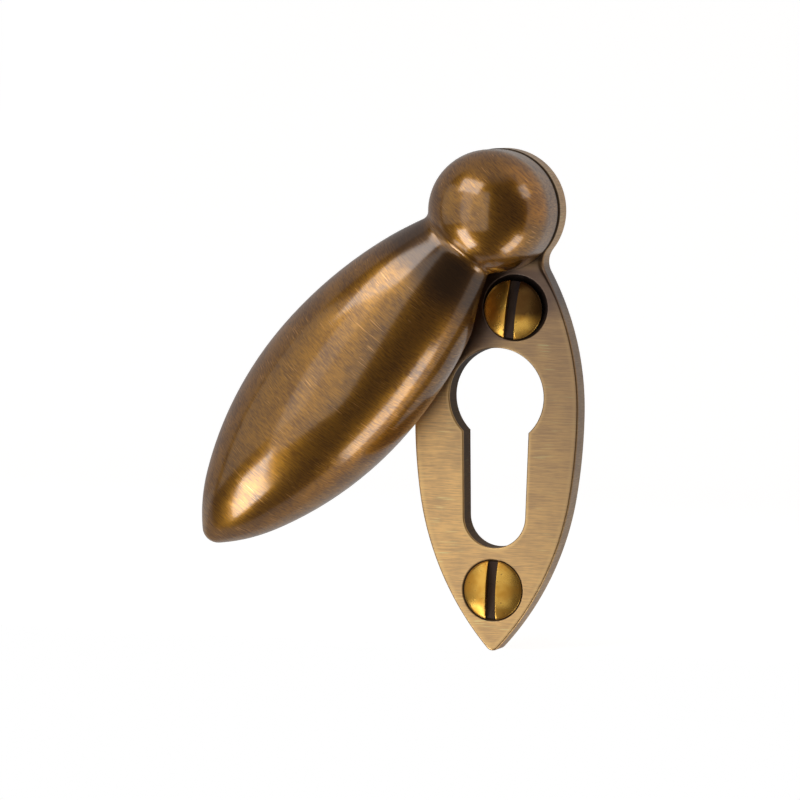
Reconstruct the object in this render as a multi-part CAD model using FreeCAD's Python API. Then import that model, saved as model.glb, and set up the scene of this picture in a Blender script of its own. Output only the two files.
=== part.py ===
import FreeCAD, Part
import math
import os

# Keyhole escutcheon with a swinging drop-shaped cover, for a profile lock cylinder.
# Millimetres. Z is up, the front faces -Y and the back of the plate lies in the plane Y = 0.
# The origin is on the axis of the round part of the keyhole, in the plane of the back.

# Back plate
plate_thickness = 4.8
plate_half_width = 15.2
plate_widest_z = -2.6
plate_shoulder_radius = 51.4
plate_belly_radius = 99.4
plate_foot_start_z = -17.9
plate_foot_radius = 53.0
plate_tip_radius = 1.4
disc_radius = 11.15
neck_fillet_radius = 3.7
plate_edge_chamfer = 0.35

# Keyhole
keyhole_radius = 8.75
keyhole_height = 35.9
slot_half_width_at_top = 6.05
slot_foot_radius = 5.7
keyhole_rim_chamfer = 0.25

# Pivot, on the disc above the keyhole
pivot_z = 33.35
pivot_shoulder_radius = 3.0
pivot_running_clearance = 0.05
pivot_head_radius = 4.8
pivot_head_thickness = 1.2
pivot_head_recess = 0.2
pivot_head_side_clearance = 0.5
pivot_thread_radius = 2.5
pivot_thread_length = 9.0
pivot_thread_clearance = 0.05
pivot_hole_extra_depth = 1.0
pivot_slot_width = 1.1
pivot_slot_depth = 0.6

# Dished spring washer under the head of the pivot screw
washer_thickness = 0.4
washer_dish = 0.3
washer_bore_clearance = 0.15
washer_outer_radius = 4.7
washer_face_gap = 0.03

# Cover: a ball over a round base, and a long drop-shaped body, hollow behind
cover_open_angle = 40.75
cover_axis_height = 6.0
ball_radius = 11.0
ball_seam_gap = 0.1
ball_base_chamfer = 0.3
body_radius = 14.8
body_widest_distance = 40.7
body_shoulder_radius = 79.6
body_belly_radius = 68.0
body_foot_start_distance = 69.9
body_foot_radius = 34.4
body_tip_radius = 2.9
body_root_distance = 2.0
neck_crease_radius = 1.6
neck_arch_height = 8.2
neck_arch_roof_radius = 14.0
neck_arch_foot_radius = 24.0
cover_rim_gap = 1.7
cover_wall = 2.6
hollow_start_distance = 17.0

# Wood screws with raised countersunk heads
upper_screw_x = 2.92
upper_screw_z = 15.7
upper_screw_slot_angle = 6.0
upper_countersink_radius = 5.95
upper_countersink_offset_x = 0.36
upper_countersink_offset_z = 0.36
lower_screw_x = 0.0
lower_screw_z = -34.75
lower_screw_slot_angle = 1.8
lower_countersink_radius = 5.7
lower_countersink_offset_x = -0.2
lower_countersink_offset_z = -0.1
screw_head_radius = 5.35
screw_head_land = 0.25
screw_dome_height = 1.05
screw_slot_width = 1.9
screw_slot_offset = -0.15
screw_slot_depth = 1.5
screw_shank_radius = 1.6
screw_thread_radius = 2.1
screw_thread_start_y = 0.6
screw_thread_length = 15.0
screw_point_length = 4.4
screw_hole_radius = 2.7

# Places that follow from the sizes above
face_y = -plate_thickness
axis_y = face_y - cover_axis_height
ball_base_y = face_y - ball_seam_gap
rim_y = face_y - cover_rim_gap
pivot_inner_face_y = -pivot_head_recess - pivot_head_thickness
counterbore_depth = -pivot_inner_face_y + washer_thickness + washer_dish + 2 * washer_face_gap
cutter_reach = 2 * (body_foot_start_distance + body_foot_radius)
cut_past = 1.0
front = FreeCAD.Vector(0, -1, 0)
rear = FreeCAD.Vector(0, 1, 0)


def at(x, z, y=0.0):
    return FreeCAD.Vector(x, y, z)


def towards(centre, radius, target):
    """The point of a circle that lies in the direction of the target."""
    direction = target.sub(centre)
    return centre.add(direction.multiply(radius / direction.Length))


def arc(centre, radius, start, end):
    """A circular edge of less than half a turn."""
    middle = towards(centre, radius, start.add(end).multiply(0.5))
    return Part.Arc(start, middle, end).toShape()


def line(start, end):
    return Part.LineSegment(start, end).toShape()


def mirrored(point):
    return FreeCAD.Vector(-point.x, point.y, point.z)


def circle_crossing(centre_a, radius_a, centre_b, radius_b, side):
    """Where two circles in the XZ plane cross, on the chosen side of the line of centres."""
    between = centre_b.sub(centre_a)
    span = between.Length
    along = (radius_a ** 2 - radius_b ** 2 + span ** 2) / (2 * span)
    across = math.sqrt(radius_a ** 2 - along ** 2)
    unit_x = between.x / span
    unit_z = between.z / span
    x = centre_a.x + along * unit_x - side * across * unit_z
    z = centre_a.z + along * unit_z + side * across * unit_x
    return at(x, z, centre_a.y)


def cylinder(radius, x, z, y_start, y_end):
    """A round bar along Y between two depths."""
    return Part.makeCylinder(radius, y_end - y_start, at(x, z, y_start), rear)


def cone(radius_start, radius_end, x, z, y_start, y_end):
    return Part.makeCone(radius_start, radius_end, y_end - y_start, at(x, z, y_start), rear)


def turned(points, x, z):
    """A turned piece about an axis along Y, from radius and depth pairs."""
    outline = [FreeCAD.Vector(x + radius, y, z) for radius, y in points]
    face = Part.Face(Part.makePolygon(outline + [outline[0]]))
    return face.revolve(at(x, z), rear, 360)


def edges_at_depth(shape, y):
    """The edges that lie wholly in the plane at this depth."""
    flat = 1e-4
    return [e for e in shape.Edges
            if abs(e.BoundBox.YMin - y) < flat and abs(e.BoundBox.YMax - y) < flat]


# Back plate

def plate_outline():
    """A pointed oval of three arcs a side, joined to the round disc by the arcs of the neck."""
    shoulder_centre = at(plate_half_width - plate_shoulder_radius, plate_widest_z)
    belly_centre = at(plate_half_width - plate_belly_radius, plate_widest_z)
    disc_centre = at(0, pivot_z)
    neck_centre = circle_crossing(
        shoulder_centre, plate_shoulder_radius + neck_fillet_radius,
        disc_centre, disc_radius + neck_fillet_radius, -1)
    belly_drop = plate_widest_z - plate_foot_start_z
    foot_start_x = belly_centre.x + math.sqrt(plate_belly_radius ** 2 - belly_drop ** 2)
    foot_start = at(foot_start_x, plate_foot_start_z)
    foot_centre = towards(foot_start, plate_foot_radius, belly_centre)
    tip_drop = math.sqrt((plate_foot_radius - plate_tip_radius) ** 2 - foot_centre.x ** 2)
    tip_centre = at(0, foot_centre.z - tip_drop)
    tip_side = towards(foot_centre, plate_foot_radius, tip_centre)
    widest = at(plate_half_width, plate_widest_z)
    shoulder_top = towards(shoulder_centre, plate_shoulder_radius, neck_centre)
    disc_side = towards(disc_centre, disc_radius, neck_centre)
    side = [
        (foot_centre, plate_foot_radius, tip_side, foot_start),
        (belly_centre, plate_belly_radius, foot_start, widest),
        (shoulder_centre, plate_shoulder_radius, widest, shoulder_top),
        (neck_centre, neck_fillet_radius, shoulder_top, disc_side),
    ]
    right = [arc(centre, radius, start, end) for centre, radius, start, end in side]
    left = [arc(mirrored(centre), radius, mirrored(end), mirrored(start))
            for centre, radius, start, end in reversed(side)]
    crown = at(0, pivot_z + disc_radius)
    disc_arc = Part.Arc(disc_side, crown, mirrored(disc_side)).toShape()
    tip_arc = arc(tip_centre, plate_tip_radius, mirrored(tip_side), tip_side)
    return Part.Wire(right + [disc_arc] + left + [tip_arc])


def keyhole_outline():
    """The round and the slot of the keyhole; the slot narrows a little to its rounded foot."""
    corner_z = -math.sqrt(keyhole_radius ** 2 - slot_half_width_at_top ** 2)
    corner = at(slot_half_width_at_top, corner_z)
    foot_centre = at(0, keyhole_radius - keyhole_height + slot_foot_radius)
    reach = corner.sub(foot_centre)
    tangent_angle = math.atan2(reach.z, reach.x) - math.acos(slot_foot_radius / reach.Length)
    tangent = at(slot_foot_radius * math.cos(tangent_angle),
                 foot_centre.z + slot_foot_radius * math.sin(tangent_angle))
    foot = at(0, foot_centre.z - slot_foot_radius)
    crown = at(0, keyhole_radius)
    return Part.Wire([
        line(tangent, corner),
        Part.Arc(corner, crown, mirrored(corner)).toShape(),
        line(mirrored(corner), mirrored(tangent)),
        Part.Arc(mirrored(tangent), foot, tangent).toShape(),
    ])


def countersunk_hole(x, z, radius):
    """A through hole for a screw, opened to a right-angled cone at the face."""
    hole = cylinder(screw_hole_radius, x, z, face_y - cut_past, cut_past)
    depth = radius - screw_hole_radius
    seat = cone(radius + cut_past, screw_hole_radius, x, z, face_y - cut_past, face_y + depth)
    return hole.fuse(seat)


def pivot_hole():
    """The running bore of the pivot, with a recess behind for its head and washer."""
    bore_radius = pivot_shoulder_radius + pivot_running_clearance
    bore = cylinder(bore_radius, 0, pivot_z, face_y - cut_past, cut_past)
    recess_radius = pivot_head_radius + pivot_head_side_clearance
    recess = cylinder(recess_radius, 0, pivot_z, -counterbore_depth, cut_past)
    return bore.fuse(recess)


def back_plate():
    plate = Part.Face(plate_outline()).extrude(front * plate_thickness)
    plate = plate.makeChamfer(plate_edge_chamfer, edges_at_depth(plate, face_y))
    keyhole = Part.Face(keyhole_outline()).extrude(front * plate_thickness)
    around = keyhole.BoundBox
    around.enlarge(keyhole_rim_chamfer)
    opened = plate.cut(keyhole)
    rim = [e for e in edges_at_depth(opened, face_y) if around.isInside(e.BoundBox)]
    opened = opened.makeChamfer(keyhole_rim_chamfer, rim)
    upper = countersunk_hole(upper_screw_x + upper_countersink_offset_x,
                             upper_screw_z + upper_countersink_offset_z,
                             upper_countersink_radius)
    lower = countersunk_hole(lower_screw_x + lower_countersink_offset_x,
                             lower_screw_z + lower_countersink_offset_z,
                             lower_countersink_radius)
    return opened.cut(upper).cut(lower).cut(pivot_hole())


# Screws

def raised_head(x, z):
    """A shallow dome over a short land, closing to the shank through a right-angled cone."""
    land_y = face_y - screw_head_land
    top_y = land_y - screw_dome_height
    dome_radius = (screw_head_radius ** 2 + screw_dome_height ** 2) / (2 * screw_dome_height)
    ball = Part.makeSphere(dome_radius, at(x, z, top_y + dome_radius))
    band = cylinder(screw_head_radius, x, z, top_y, face_y)
    cone_depth = screw_head_radius - screw_shank_radius
    seat = cone(screw_head_radius, screw_shank_radius, x, z, face_y, face_y + cone_depth)
    return band.common(ball).fuse(seat)


def head_slot(x, z, angle):
    """A straight slot across a head; the angle leans its upper end to the right."""
    top_y = face_y - screw_head_land - screw_dome_height
    left = x + screw_slot_offset - screw_slot_width / 2
    reach = screw_head_radius + cut_past
    slot = Part.makeBox(screw_slot_width, screw_slot_depth + cut_past, 2 * reach,
                        at(left, z - reach, top_y - cut_past))
    slot.rotate(at(x, z), rear, angle)
    return slot


def wood_screw(x, z, angle):
    """Head, smooth shank, threaded length at its crest radius, and a point."""
    thread_end_y = screw_thread_start_y + screw_thread_length
    shank = turned([
        (0, face_y),
        (screw_shank_radius, face_y),
        (screw_shank_radius, screw_thread_start_y),
        (screw_thread_radius, screw_thread_start_y),
        (screw_thread_radius, thread_end_y),
        (0, thread_end_y + screw_point_length),
    ], x, z)
    return raised_head(x, z).fuse(shank).removeSplitter().cut(head_slot(x, z, angle))


def pivot_screw():
    """Low head in the back of the disc, running shoulder, and a thread up into the ball."""
    screw = turned([
        (0, -pivot_head_recess),
        (pivot_head_radius, -pivot_head_recess),
        (pivot_head_radius, pivot_inner_face_y),
        (pivot_shoulder_radius, pivot_inner_face_y),
        (pivot_shoulder_radius, ball_base_y),
        (pivot_thread_radius, ball_base_y),
        (pivot_thread_radius, ball_base_y - pivot_thread_length),
        (0, ball_base_y - pivot_thread_length),
    ], 0, pivot_z)
    reach = pivot_head_radius + cut_past
    corner = at(-reach, pivot_z - pivot_slot_width / 2, -pivot_head_recess - pivot_slot_depth)
    return screw.cut(Part.makeBox(2 * reach, pivot_slot_depth + cut_past, pivot_slot_width, corner))


def spring_washer():
    """A dished ring that presses the head back from the floor of its recess."""
    inner = pivot_shoulder_radius + washer_bore_clearance
    head_side_y = pivot_inner_face_y - washer_face_gap
    floor_side_y = head_side_y - washer_dish
    return turned([
        (inner, head_side_y),
        (washer_outer_radius, floor_side_y),
        (washer_outer_radius, floor_side_y - washer_thickness),
        (inner, head_side_y - washer_thickness),
    ], 0, pivot_z)


# Cover, drawn hanging straight down over the keyhole and then swung to its place

def body_profile(inset, start_distance):
    """Half the outline of the drop, from its root to its tip, on one side of the long axis."""
    def place(radius, distance):
        return at(radius, pivot_z - distance, axis_y)

    shoulder_centre = place(body_radius - body_shoulder_radius, body_widest_distance)
    belly_centre = place(body_radius - body_belly_radius, body_widest_distance)
    belly_drop = body_foot_start_distance - body_widest_distance
    belly_end_x = belly_centre.x + math.sqrt(body_belly_radius ** 2 - belly_drop ** 2)
    foot_centre = towards(place(belly_end_x, body_foot_start_distance), body_foot_radius, belly_centre)
    tip_drop = math.sqrt((body_foot_radius - body_tip_radius) ** 2 - foot_centre.x ** 2)
    tip_centre = at(0, foot_centre.z - tip_drop, axis_y)
    shoulder_radius = body_shoulder_radius - inset
    belly_radius = body_belly_radius - inset
    foot_radius = body_foot_radius - inset
    tip_radius = body_tip_radius - inset
    start_drop = body_widest_distance - start_distance
    start_x = shoulder_centre.x + math.sqrt(shoulder_radius ** 2 - start_drop ** 2)
    start = place(start_x, start_distance)
    widest = place(body_radius - inset, body_widest_distance)
    foot_start = towards(belly_centre, belly_radius, place(belly_end_x, body_foot_start_distance))
    tip_side = towards(foot_centre, foot_radius, tip_centre)
    tip = at(0, tip_centre.z - tip_radius, axis_y)
    root = place(0, start_distance)
    return Part.Wire([
        line(root, start),
        arc(shoulder_centre, shoulder_radius, start, widest),
        arc(belly_centre, belly_radius, widest, foot_start),
        arc(foot_centre, foot_radius, foot_start, tip_side),
        arc(tip_centre, tip_radius, tip_side, tip),
        line(tip, root),
    ])


def spindle(inset, start_distance):
    """The drop turned about its long axis, which runs parallel to the plate."""
    face = Part.Face(body_profile(inset, start_distance))
    return face.revolve(at(0, pivot_z, axis_y), FreeCAD.Vector(0, 0, 1), 360)


def ball_and_base():
    """A half ball in front, running straight back to the disc of the plate."""
    ball = Part.makeSphere(ball_radius, at(0, pivot_z, axis_y), front, 0, 90, 360)
    base = cylinder(ball_radius, 0, pivot_z, axis_y, ball_radius)
    return ball.fuse(base).removeSplitter()


def neck_edges(shape):
    """The closed crease where the drop meets the ball and its base."""
    found = []
    for edge in shape.Edges:
        box = edge.BoundBox
        near_root = box.ZMax < pivot_z and box.ZMin > pivot_z - ball_radius - cut_past
        off_centre = box.XMax > cut_past or box.XMin < -cut_past
        if near_root and off_centre and box.YMax < ball_radius - cut_past:
            found.append(edge)
    return found


def behind(y, spare_radius):
    """All the space behind a depth, less a round column about the pivot."""
    size = cutter_reach
    space = Part.makeBox(2 * size, size, 2 * size, at(-size, pivot_z - size, y))
    if spare_radius:
        space = space.cut(cylinder(spare_radius, 0, pivot_z, y - cut_past, y + size))
    return space


def neck_arch():
    """The ring of space behind the neck, about the pivot, that arches it clear of the plate."""
    span = neck_arch_foot_radius - neck_arch_roof_radius
    rise = neck_arch_height - cover_rim_gap
    curve_radius = (span ** 2 + rise ** 2) / (2 * rise)
    roof_y = face_y - neck_arch_height
    inner = at(ball_radius, pivot_z, roof_y)
    inner_back = at(ball_radius, pivot_z, 0)
    roof_end = at(neck_arch_roof_radius, pivot_z, roof_y)
    curve_centre = at(neck_arch_roof_radius, pivot_z, roof_y + curve_radius)
    foot = at(neck_arch_foot_radius, pivot_z, rim_y)
    foot_back = at(neck_arch_foot_radius, pivot_z, 0)
    outline = Part.Wire([
        line(inner, roof_end),
        arc(curve_centre, curve_radius, roof_end, foot),
        line(foot, foot_back),
        line(foot_back, inner_back),
        line(inner_back, inner),
    ])
    return Part.Face(outline).revolve(at(0, pivot_z), rear, 360)


def solid_cover():
    """Drop and ball as one casting, with a soft crease at the neck, cut off behind."""
    drop = spindle(0, body_root_distance)
    casting = drop.fuse(ball_and_base())
    casting = casting.makeFillet(neck_crease_radius, neck_edges(casting))
    casting = casting.cut(behind(ball_base_y, 0))
    casting = casting.cut(behind(rim_y, ball_radius))
    return casting.cut(neck_arch())


def cover():
    casting = solid_cover()
    casting = casting.makeChamfer(ball_base_chamfer, edges_at_depth(casting, ball_base_y))
    hollow = spindle(cover_wall, hollow_start_distance)
    casting = casting.cut(hollow)
    hole_depth = pivot_thread_length + pivot_hole_extra_depth
    hole_radius = pivot_thread_radius + pivot_thread_clearance
    casting = casting.cut(cylinder(hole_radius, 0, pivot_z, ball_base_y - hole_depth, 0))
    casting.rotate(at(0, pivot_z), rear, cover_open_angle)
    return casting


def build():
    os.makedirs("parts", exist_ok=True)
    pieces = {
        "back_plate": back_plate(),
        "cover": cover(),
        "pivot_screw": pivot_screw(),
        "spring_washer": spring_washer(),
        "upper_screw": wood_screw(upper_screw_x, upper_screw_z, upper_screw_slot_angle),
        "lower_screw": wood_screw(lower_screw_x, lower_screw_z, lower_screw_slot_angle),
    }
    for name, shape in pieces.items():
        solid = shape.Solids[0]
        box = solid.BoundBox
        print(name, "solids", len(shape.Solids), "valid", shape.isValid(), "volume", round(solid.Volume, 2),
              "box", [round(v, 2) for v in (box.XMin, box.YMin, box.ZMin, box.XMax, box.YMax, box.ZMax)])
        solid.exportStep("parts/" + name + ".step")


build()
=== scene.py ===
import math
import bmesh
import bpy
from mathutils import Matrix, Vector


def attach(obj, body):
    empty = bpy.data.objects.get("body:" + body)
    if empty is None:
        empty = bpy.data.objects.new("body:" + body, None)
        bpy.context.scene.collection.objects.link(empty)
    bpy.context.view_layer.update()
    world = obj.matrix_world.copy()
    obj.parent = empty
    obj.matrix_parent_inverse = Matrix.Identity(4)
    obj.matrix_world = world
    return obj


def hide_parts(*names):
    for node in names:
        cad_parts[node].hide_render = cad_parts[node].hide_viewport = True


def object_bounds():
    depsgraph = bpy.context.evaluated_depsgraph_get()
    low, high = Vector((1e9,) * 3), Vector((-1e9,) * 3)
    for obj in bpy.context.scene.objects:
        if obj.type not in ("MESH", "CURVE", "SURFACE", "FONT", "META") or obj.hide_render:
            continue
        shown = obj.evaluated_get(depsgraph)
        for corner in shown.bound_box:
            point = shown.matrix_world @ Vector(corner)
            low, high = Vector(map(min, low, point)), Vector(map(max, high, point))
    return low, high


bl_info = {
    "name": "Covered keyhole escutcheon",
    "version": (1, 0, 0),
    "blender": (4, 5, 0),
    "location": "3D View > Sidebar > Escutcheon",
    "description": "Builds the looks of a keyhole escutcheon with a swinging cover over its packed frame",
    "category": "Object",
}

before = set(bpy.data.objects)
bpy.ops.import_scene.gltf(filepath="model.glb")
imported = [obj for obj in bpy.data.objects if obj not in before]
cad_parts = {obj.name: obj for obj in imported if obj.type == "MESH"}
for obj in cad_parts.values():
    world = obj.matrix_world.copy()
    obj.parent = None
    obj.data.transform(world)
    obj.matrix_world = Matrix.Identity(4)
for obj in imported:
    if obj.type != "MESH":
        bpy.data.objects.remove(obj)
frame_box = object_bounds()

MM = 0.001

# How finely the pieces are divided

OUTLINE_STEP = 0.35 * MM
ROUND_POINTS = 96
EDGE_STEPS = 6
RIM_STEPS = 4
DOME_STEPS = 14
THREAD_POINTS_ROUND = 49
THREAD_POINTS_ALONG = 260
BACK_CHAMFER = 0.12 * MM
SINK_LIP = 0.12 * MM
HEAD_LIP = 0.15 * MM
SLOT_EASE = 0.07 * MM
COVER_WELD = 0.001 * MM
THREAD_WELD = 0.0005 * MM

# Angles from which an edge stays sharp

PLATE_CREASE = math.radians(38)
COVER_CREASE = math.radians(32)
HEAD_CREASE = math.radians(40)
SLOT_CREASE = math.radians(55)

# The view of the photo, as fitted to the keyhole and the plate

CAMERA_DISTANCE = 0.95
CAMERA_BACK = Vector((0.29184, -0.95455, 0.06054))
CAMERA_RIGHT = Vector((0.95593, 0.29322, 0.01514))
CAMERA_UP = Vector((-0.03221, 0.05345, 0.99805))
FRAME_PIXELS = 800
FOCAL_PIXELS = 5281.0
PIVOT_RIGHT_PIXELS = 103.517
PIVOT_UP_PIXELS = 4.559
SENSOR_WIDTH = 36

# Where the lamps aim, and how far away they stand

LAMP_TARGET = Vector((-15 * MM, -10 * MM, 0.0))
FAR_LAMP = 0.7
NEAR_LAMP = 0.45
SIDE_LAMP = 0.5

# The floor and its backdrop

FLOOR_REACH = 0.28
FLOOR_DEPTH = 0.35
BACKDROP_RADIUS = 0.12
BACKDROP_HEIGHT = 0.34
BACKDROP_STEPS = 12
FLOOR_GREY = 0.32
FLOOR_WHITE = 0.92


# Sizes and colours that a user would change

def length(label, text, default_mm):
    """A length property, given here in millimetres and kept in metres."""
    return bpy.props.FloatProperty(name=label, description=text, default=default_mm * MM,
                                   unit="LENGTH", precision=5)


def span(label, text, first_mm, second_mm):
    """Two places, given here in millimetres and kept in metres, between which a finish changes."""
    return bpy.props.FloatVectorProperty(name=label, description=text, unit="LENGTH", precision=5,
                                         default=(first_mm * MM, second_mm * MM), size=2)


def lean(label, text, default_degrees):
    return bpy.props.FloatProperty(name=label, description=text, subtype="ANGLE",
                                   default=math.radians(default_degrees))


def colour(label, text, default):
    return bpy.props.FloatVectorProperty(name=label, description=text, default=default,
                                         subtype="COLOR", size=3, min=0, max=1)


def factor(label, text, default):
    return bpy.props.FloatProperty(name=label, description=text, default=default, min=0)


class PlateSizes(bpy.types.PropertyGroup):
    thickness: length("Thickness", "Thickness of the back plate", 4.8)
    half_width: length("Half width", "Half the plate's greatest width", 15.2)
    widest_z: length("Widest height", "Height at which the plate is widest", -2.6)
    shoulder_radius: length("Shoulder radius", "Arc above the widest place", 51.4)
    belly_radius: length("Belly radius", "Arc below the widest place", 99.4)
    foot_start_z: length("Foot start", "Height at which the lowest arc starts", -17.9)
    foot_radius: length("Foot radius", "Lowest arc of the side", 53.0)
    tip_radius: length("Tip radius", "Rounding of the lower tip", 1.4)
    disc_radius: length("Disc radius", "Round disc at the top", 11.15)
    neck_radius: length("Neck radius", "Hollow arc between the disc and the oval", 3.7)
    edge_round: length("Edge rounding", "Rounding of the front edge", 0.38)
    neck_round: length("Neck rounding", "Softer rounding of the front edge at the neck", 1.1)
    pivot_z: length("Pivot height", "Height of the pivot above the keyhole's round", 33.35)
    pivot_bore: length("Pivot bore", "Radius of the pivot's bore", 3.05)
    recess_radius: length("Recess radius", "Radius of the recess behind the pivot", 5.3)
    recess_depth: length("Recess depth", "Depth of the recess behind the pivot", 2.16)


class KeyholeSizes(bpy.types.PropertyGroup):
    radius: length("Round", "Radius of the keyhole's round", 8.75)
    height: length("Height", "Whole height of the keyhole", 35.9)
    slot_half_width: length("Slot half width", "Half the slot's width at its top", 6.05)
    foot_radius: length("Slot foot", "Radius of the slot's foot", 5.7)
    rim: length("Rim", "Rounding of the front rim", 0.25)


class ScrewSizes(bpy.types.PropertyGroup):
    upper_x: length("Upper sideways", "Place of the upper screw across the plate", 2.92)
    upper_z: length("Upper height", "Height of the upper screw", 15.7)
    upper_sink: length("Upper countersink", "Radius of the upper countersink at the face", 5.95)
    upper_sink_x: length("Upper countersink sideways", "How far the countersink is off its screw", 0.36)
    upper_sink_z: length("Upper countersink up", "How far the countersink is off its screw", 0.36)
    upper_turn: lean("Upper slot", "Lean of the upper slot", 6.0)
    lower_x: length("Lower sideways", "Place of the lower screw across the plate", 0.0)
    lower_z: length("Lower height", "Height of the lower screw", -34.75)
    lower_sink: length("Lower countersink", "Radius of the lower countersink at the face", 5.58)
    lower_sink_x: length("Lower countersink sideways", "How far the countersink is off its screw", -0.12)
    lower_sink_z: length("Lower countersink up", "How far the countersink is off its screw", -0.05)
    lower_turn: lean("Lower slot", "Lean of the lower slot", 1.8)
    hole_radius: length("Hole", "Radius of the screw holes", 2.7)
    head_radius: length("Head", "Radius of a screw's head", 5.35)
    head_land: length("Land", "Straight edge of the head above the face", 0.25)
    dome_height: length("Dome", "Height of the head's dome over its edge", 1.05)
    slot_width: length("Slot width", "Width of the slot in the head", 1.9)
    slot_depth: length("Slot depth", "Depth of the slot below the top of the dome", 1.5)
    slot_offset: length("Slot offset", "How far the slot is off the middle", -0.15)
    shank_radius: length("Shank", "Radius of the smooth shank", 1.6)
    root_radius: length("Thread root", "Radius at the bottom of the thread", 1.45)
    crest_radius: length("Thread crest", "Radius at the top of the thread", 2.1)
    pitch: length("Pitch", "Distance from one turn of the thread to the next", 1.8)
    thread_start: length("Thread start", "Where the thread starts, behind the face", 0.6)
    thread_length: length("Thread length", "Length of the full thread", 15.0)
    point_length: length("Point", "Length of the screw's point", 4.4)


class CoverSizes(bpy.types.PropertyGroup):
    ball_radius: length("Ball", "Radius of the ball at the pivot", 11.0)
    axis_y: length("Axis", "Depth of the cover's long axis", -10.8)
    hang: lean("Lean", "How far the cover hangs off straight down", 40.75)


# Places of the dark patina and of painted shade: the painted shadow of the ball and cover on the plate and
# on the upper screw's head, painted shade up the plate, at the seam under the ball and at the ball's foot.
class PatinaAndShadePlaces(bpy.types.PropertyGroup):
    # The neck and side spans place dark patina together with a painted shadow of the ball and cover round
    # the neck, and painted shade that deepens up the plate.
    neck: span("Neck", "Heights between which the dark finish deepens at the neck", 5, 15)
    side: span("Side", "Heights between which it deepens up the plate", -38, 30)
    ragged: length("Ragged border", "How far the border of the dark finish wanders", 5)
    ball_shade: span("Under the ball", "Heights between which it ends under the ball", 22, 27)
    disc: span("Disc", "Heights between which the disc begins", 23, 25)
    # Painted shade on the disc's edge and under the ball, at the seam where the ball sits.
    disc_edge_shade: span("Disc edge", "Depths between which the disc's edge darkens to the front", -4.0, -4.4)
    # Painted shade on the ball's base where it meets the plate.
    ball_foot_shade: span("Ball foot", "Depths between which the ball's base darkens to the back", -5.8, -5.4)
    crease_low: span("Crease, low", "Where the cover's neck darkens, below the pivot", -19, -13.5)
    crease_high: span("Crease, high", "Where it clears again, below the pivot", -10, -6.5)
    # Where the dark patina and the painted shadow of the ball lie on the upper head.
    head_right: span("Head, right", "Where the upper screw's right side darkens", 4.0, 5.2)
    head_top: span("Head, top", "Heights between which its top darkens", 14.5, 17.0)
    head_ragged: length("Ragged head", "How far that border wanders", 3)


class BrassFinish(bpy.types.PropertyGroup):
    plate_brass: colour("Plate brass", "Brushed brass of the plate", (0.98, 0.62, 0.255))
    plate_patina: colour("Plate patina", "Brown patina of the plate", (0.62, 0.40, 0.20))
    worn_brass: colour("Worn brass", "Bright brass on worn edges", (0.98, 0.66, 0.28))
    # Dark patina colour, which also paints the shadow of the ball and cover round the neck.
    patina_and_shadow: colour("Old patina", "Dark finish left round the neck", (0.15, 0.10, 0.08))
    # Near-black for the matt walls of the keyhole, and for painted shade in the countersinks, at the seam
    # under the ball and at the ball's foot.
    near_black: colour("Plate dirt", "Matt dark wall of the holes", (0.012, 0.008, 0.008))
    cover_brass: colour("Cover brass", "Brushed brass of the cover", (0.58, 0.268, 0.018))
    cover_patina: colour("Cover patina", "Dark brown patina of the cover", (0.22, 0.092, 0.009))
    crease_patina: colour("Crease patina", "Dark finish left in the cover's neck", (0.065, 0.030, 0.012))
    screw_brass: colour("Screw brass", "Polished brass of the screw heads", (0.96, 0.58, 0.12))
    screw_shade: colour("Screw shade", "Browner brass in the hollows of the heads", (0.74, 0.36, 0.05))
    # Dark patina on the upper head, which also paints the shadow of the ball there.
    screw_patina_and_shadow: colour("Screw patina", "Dark finish left on the upper head", (0.09, 0.042, 0.016))
    # Dark colour of the dirt in the pits, and of the painted shade in the slot and round the head's edge.
    screw_dirt_and_shade: colour("Screw dirt", "Dark residue in slots and pits", (0.05, 0.04, 0.044))
    steel: colour("Steel", "Steel of the pivot and its washer", (0.52, 0.51, 0.49))


class StudioLight(bpy.types.PropertyGroup):
    panel: factor("Panel", "Brightness of the large soft panel at the left", 0.34)
    strip: factor("Strip", "Brightness of the tall strip in front of the panel", 0.56)
    window: factor("Window", "Brightness of the lamp at the upper left", 2.3)
    low_window: factor("Low window", "Brightness of the lamp at the lower left", 3.6)
    side_card: factor("Side card", "Brightness of the card at the lower right", 2.2)
    side_window: factor("Side window", "Brightness of the lamp at the upper right", 1.1)
    room: colour("Room", "Dim room in front of the object", (0.08, 0.062, 0.048))
    surround: colour("Surround", "Grey surroundings behind and above", (0.30, 0.27, 0.26))
    right_wall: colour("Right wall", "Paler wall at the right", (0.50, 0.41, 0.34))
    ground: colour("Background", "White background", (1.0, 1.0, 1.0))
    shown: factor("Background in metal", "How brightly polished metal shows the background", 0.26)


class EscutcheonSettings(bpy.types.PropertyGroup):
    plate: bpy.props.PointerProperty(type=PlateSizes, name="Plate", description="Sizes of the back plate")
    keyhole: bpy.props.PointerProperty(type=KeyholeSizes, name="Keyhole", description="Sizes of the keyhole")
    screws: bpy.props.PointerProperty(type=ScrewSizes, name="Screws", description="Sizes of the wood screws")
    cover: bpy.props.PointerProperty(type=CoverSizes, name="Cover", description="Sizes of the cover")
    # Places of dark patina and of painted shade.
    places: bpy.props.PointerProperty(type=PatinaAndShadePlaces, name="Places", description="Where dark finish lies")
    finish: bpy.props.PointerProperty(type=BrassFinish, name="Finish", description="Colours of the brass")
    light: bpy.props.PointerProperty(type=StudioLight, name="Light", description="Levels of the lights")


def settings():
    return bpy.context.scene.escutcheon


# Outlines, as lists of points in the XZ plane

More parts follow.
